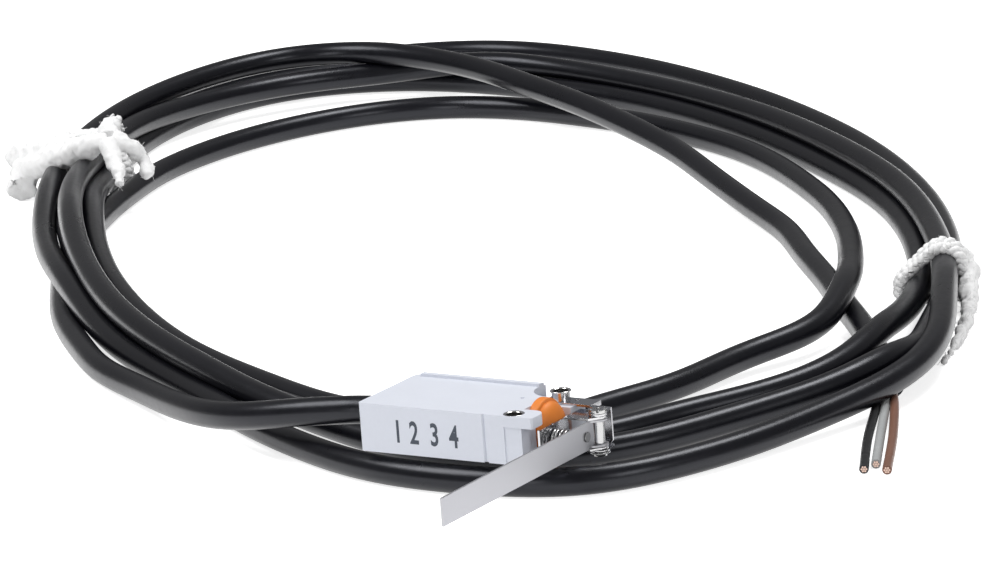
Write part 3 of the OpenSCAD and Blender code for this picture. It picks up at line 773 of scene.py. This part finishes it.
def eyeletPiece(name, node, y):
    half = eyelet["rim"] / 2
    curled = eyelet["flange"] - half
    top, bore, tube = eyelet["height"], eyelet["bore"], eyelet["bore"] + eyelet["wall"]
    lipDown, lipOut = eyelet["lip"]
    profile = [
        (eyelet["mouth"], bore),
        *roundEnd(half, curled, half, -180, 0, eyelet["curl"]),
        (eyelet["rim"], tube),
        (top - eyelet["rim"], tube),
        *roundEnd(top - half, curled, half, -90, 90, eyelet["curl"]),
        (top - lipDown, bore + lipOut),
        (top - eyelet["mouth"], bore),
    ]
    upright = Matrix.Translation((0, y * mm, 0)) @ Matrix.Rotation(-math.pi / 2, 4, "Y")
    piece = lathe(name, profile, upright, eyelet["steps"])
    belongs(piece, rootBody, "eyelet", node)
    return piece


def bootPiece():
    length, radius, rounding = boot["collar"]
    start, tip, domeRadius = boot["dome"]
    outer = [(0, radius), (length, radius), *roundEnd(length, radius - rounding, rounding, 0, 90, 5), boot["neck"]]
    outer += [(start + (tip - start) * math.sin(a), 0.001 + domeRadius * math.cos(a))
              for a in np.linspace(0, math.pi / 2, boot["domePoints"])]
    place = Matrix.Translation((boot["seat"] * mm, boot["axisY"] * mm, boot["axisZ"] * mm))
    piece = lathe("boot", outer + boot["inside"], place, boot["steps"])
    shape = bmesh.new()
    shape.from_mesh(piece.data)
    cut = bmesh.ops.bisect_plane(shape, geom=shape.verts[:] + shape.edges[:] + shape.faces[:],
                                 plane_co=(0, 0, boot["clip"] * mm), plane_no=(0, 0, -1), clear_outer=True)
    rim = [e for e in cut["geom_cut"] if isinstance(e, bmesh.types.BMEdge)]
    bmesh.ops.holes_fill(shape, edges=rim, sides=0)
    shape.to_mesh(piece.data)
    shape.free()
    smoothed(piece)
    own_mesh(piece)
    belongs(piece, rootBody, "boot_rubber", "plunger_boot")
    return piece


def springPiece(name):
    s = springs[name]
    radius, closed, rise = (s["d"] - s["wire"]) / 2, s["wire"] * springs["closed"], s["length"] - s["wire"]
    turned = np.arange(s["turns"] * springs["steps"] + 1) / springs["steps"]
    along = np.interp(turned, [0, 1, s["turns"] - 1, s["turns"]], [0, closed, rise - closed, rise])
    angle = 2 * math.pi * turned
    line = np.stack([s["x"] + s["wire"] / 2 + along, s["y"] + radius * np.cos(angle),
                     s["z"] + radius * np.sin(angle)], axis=1) * mm
    piece = tubesFromLines(name, [line], s["wire"] / 2 * mm, springs["sides"])
    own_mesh(piece)
    belongs(piece, s["body"], "spring_steel", s["node"])
    return piece


def digitPieces():
    made = []
    narrow = Matrix.Diagonal((printed["narrow"], 1, 1, 1))
    upright = Matrix.Rotation(math.pi / 2, 4, "X")
    for text, x in printed["digits"].items():
        curve = bpy.data.curves.new("digit" + text, "FONT")
        curve.body = text
        curve.size = printed["size"]
        curve.offset = printed["bolder"]
        curve.align_x = "CENTER"
        curve.extrude = printed["thick"]
        piece = asMesh(newObject("digit" + text, curve))
        place = Matrix.Translation((x * mm, printed["face"] * mm, printed["foot"] * mm))
        piece.data.transform(place @ upright @ Matrix.Scale(mm, 4) @ narrow)
        made.append(piece)
    digits = joined("printedDigits", made)
    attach(digits, rootBody)
    return digits


pieces = {name: dressed(name, *values) for name, values in brokenEdges["pieces"].items()}
pieces["frontEyelet"] = eyeletPiece("frontEyelet", "front_eyelet", 0)
pieces["rearEyelet"] = eyeletPiece("rearEyelet", "rear_eyelet", eyelet["pitch"])
pieces["boot"] = bootPiece()
for name in ("returnSpring", "bladeSpring"):
    pieces[name] = springPiece(name)
digits = digitPieces()
print("stage: switch pieces shaped")


# Materials

surface = {
    "fineDetail": 5,
    "broadScale": 0.12,
    "broadDetail": 2,
    "bumpStrength": 0.5,
    "specular": 0.38,
    "specularTint": (0.9, 0.92, 1, 1),
}


def grainGroup():
    # tone, roughness and height from one noise, for every finish
    group = bpy.data.node_groups.new("surfaceGrain", "ShaderNodeTree")
    sockets = [
        ("Place", "INPUT", "Vector"), ("Color", "INPUT", "Color"), ("Tone", "INPUT", "Float"),
        ("Roughness", "INPUT", "Float"), ("Spread", "INPUT", "Float"),
        ("Color", "OUTPUT", "Color"), ("Roughness", "OUTPUT", "Float"), ("Height", "OUTPUT", "Float")]
    for name, way, kind in sockets:
        group.interface.new_socket(name, in_out=way, socket_type="NodeSocket" + kind)
    start = addNode(group, "NodeGroupInput")
    end = addNode(group, "NodeGroupOutput")
    fine = addNode(group, "ShaderNodeTexNoise")
    broad = addNode(group, "ShaderNodeTexNoise")
    both = addNode(group, "ShaderNodeMath", operation="ADD")
    centred = addNode(group, "ShaderNodeMath", operation="SUBTRACT")
    tone = addNode(group, "ShaderNodeMath", operation="MULTIPLY_ADD")
    hue = addNode(group, "ShaderNodeHueSaturation")
    rough = addNode(group, "ShaderNodeMath", operation="MULTIPLY_ADD", use_clamp=True)
    setInputs(fine, {"Scale": 1, "Detail": surface["fineDetail"]})
    setInputs(broad, {"Scale": surface["broadScale"], "Detail": surface["broadDetail"]})
    setInputs(centred, {1: 1})
    setInputs(tone, {2: 1})
    connect(group,
            (start, "Place", fine, "Vector"),
            (start, "Place", broad, "Vector"),
            (fine, 0, both, 0),
            (broad, 0, both, 1),
            (both, 0, centred, 0),
            (centred, 0, tone, 0),
            (start, "Tone", tone, 1),
            (tone, 0, hue, "Value"),
            (start, "Color", hue, "Color"),
            (centred, 0, rough, 0),
            (start, "Spread", rough, 1),
            (start, "Roughness", rough, 2),
            (hue, 0, end, "Color"),
            (rough, 0, end, "Roughness"),
            (fine, 0, end, "Height"))
    return group


grain = grainGroup()

# colour, roughness, metallic, tone, roughness spread, noise cells per metre along X, Y and Z, bump in mm
finishes = {
    "housing": ((0.66, 0.685, 0.755), 0.42, 0, 0.05, 0.08, (900, 900, 900), 0.01),
    "eyelet": ((0.72, 0.71, 0.70), 0.16, 1, 0.06, 0.08, (600, 600, 200), 0.01),
    "polished_sheet": ((0.5, 0.5, 0.51), 0.16, 1, 0.08, 0.08, (500, 900, 500), 0.01),
    "pin_steel": ((0.45, 0.45, 0.45), 0.2, 1, 0.12, 0.1, (1500, 1500, 60), 0.05),
    "blade_steel": ((0.43, 0.43, 0.45), 0.46, 1, 0.06, 0.1, (3000, 60, 900), 0.006),
    "spring_steel": ((0.5, 0.5, 0.5), 0.28, 1, 0.08, 0.1, (900, 900, 900), 0.01),
    "boot_rubber": ((0.75, 0.22, 0.03), 0.5, 0, 0.1, 0.1, (500, 500, 500), 0.02),
    "plunger_plastic": ((0.7, 0.66, 0.55), 0.5, 0, 0.05, 0.1, (600, 600, 600), 0.01),
    "contact_alloy": ((0.7, 0.45, 0.2), 0.3, 1, 0.1, 0.1, (600, 600, 600), 0.01),
    "contact_silver": ((0.8, 0.8, 0.78), 0.2, 1, 0.05, 0.1, (600, 600, 600), 0.01),
    "terminal_brass": ((0.7, 0.5, 0.2), 0.3, 1, 0.1, 0.1, (600, 600, 600), 0.01),
    "seal_rubber": ((0.02, 0.02, 0.02), 0.6, 0, 0.2, 0.1, (800, 800, 800), 0.02),
    "clamp_plastic": ((0.35, 0.36, 0.38), 0.5, 0, 0.05, 0.1, (600, 600, 600), 0.01),
    "cable_sheath": ((0.003, 0.003, 0.005), 0.3, 0, 0.3, 0.1, (500, 500, 500), 0.03),
    "core_black": ((0.008, 0.008, 0.008), 0.4, 0, 0.3, 0.1, (700, 700, 700), 0.02),
    "core_grey": ((0.36, 0.37, 0.37), 0.45, 0, 0.1, 0.1, (700, 700, 700), 0.02),
    "core_brown": ((0.18, 0.085, 0.055), 0.42, 0, 0.15, 0.1, (700, 700, 700), 0.02),
    "copper": ((0.5, 0.36, 0.30), 0.3, 1, 0.15, 0.1, (1500, 1500, 1500), 0.02),
    "tie_cord": ((0.86, 0.86, 0.86), 0.9, 0, 0.1, 0.05, (2500, 2500, 2500), 0.15),
    # painted shade: the rivet's steel is made dark so that it stands in for the shade of the recess it sits in
    "rivet_steel_painted_shade": ((0.2, 0.2, 0.2), 0.35, 1, 0.1, 0.1, (900, 900, 900), 0.02),
    "print_ink": ((0.06, 0.07, 0.09), 0.6, 0, 0.3, 0.1, (2500, 2500, 2500), 0.005),
}


def finish(name, color, roughness, metallic, tone, spread, cells, bumpHeight):
    material = newMaterial(name)
    tree = material.node_tree
    output = addNode(tree, "ShaderNodeOutputMaterial")
    shader = addNode(tree, "ShaderNodeBsdfPrincipled")
    place = addNode(tree, "ShaderNodeTexCoord")
    mapping = addNode(tree, "ShaderNodeMapping")
    group = addNode(tree, "ShaderNodeGroup", node_tree=grain)
    bump = addNode(tree, "ShaderNodeBump")
    setInputs(mapping, {"Scale": cells})
    setInputs(group, {"Color": (*color, 1), "Tone": tone, "Roughness": roughness, "Spread": spread})
    setInputs(bump, {"Strength": surface["bumpStrength"], "Distance": bumpHeight * mm})
    setInputs(shader, {"Metallic": metallic, "Specular IOR Level": surface["specular"],
                       "Specular Tint": surface["specularTint"]})
    connect(tree,
            (place, "Object", mapping, "Vector"),
            (mapping, 0, group, "Place"),
            (group, "Color", shader, "Base Color"),
            (group, "Roughness", shader, "Roughness"),
            (group, "Height", bump, "Height"),
            (bump, 0, shader, "Normal"),
            (shader, 0, output, "Surface"))
    return material


def paintWith(piece, name):
    piece.data.materials.clear()
    piece.data.materials.append(paint[name])


paint = {name: finish(name, *values) for name, values in finishes.items()}
for part in frame["record"]["subparts"]:
    paintWith(nodes[part["node"]], part["material_slot"])
for piece in [cableTube, *cordPieces, *pieces.values()]:
    paintWith(piece, piece["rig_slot"])
paintWith(digits, "print_ink")
# the rivet gets the darkened steel, a painted shade for its recess
paintWith(pieces["rivet"], "rivet_steel_painted_shade")
print("stage: materials set")
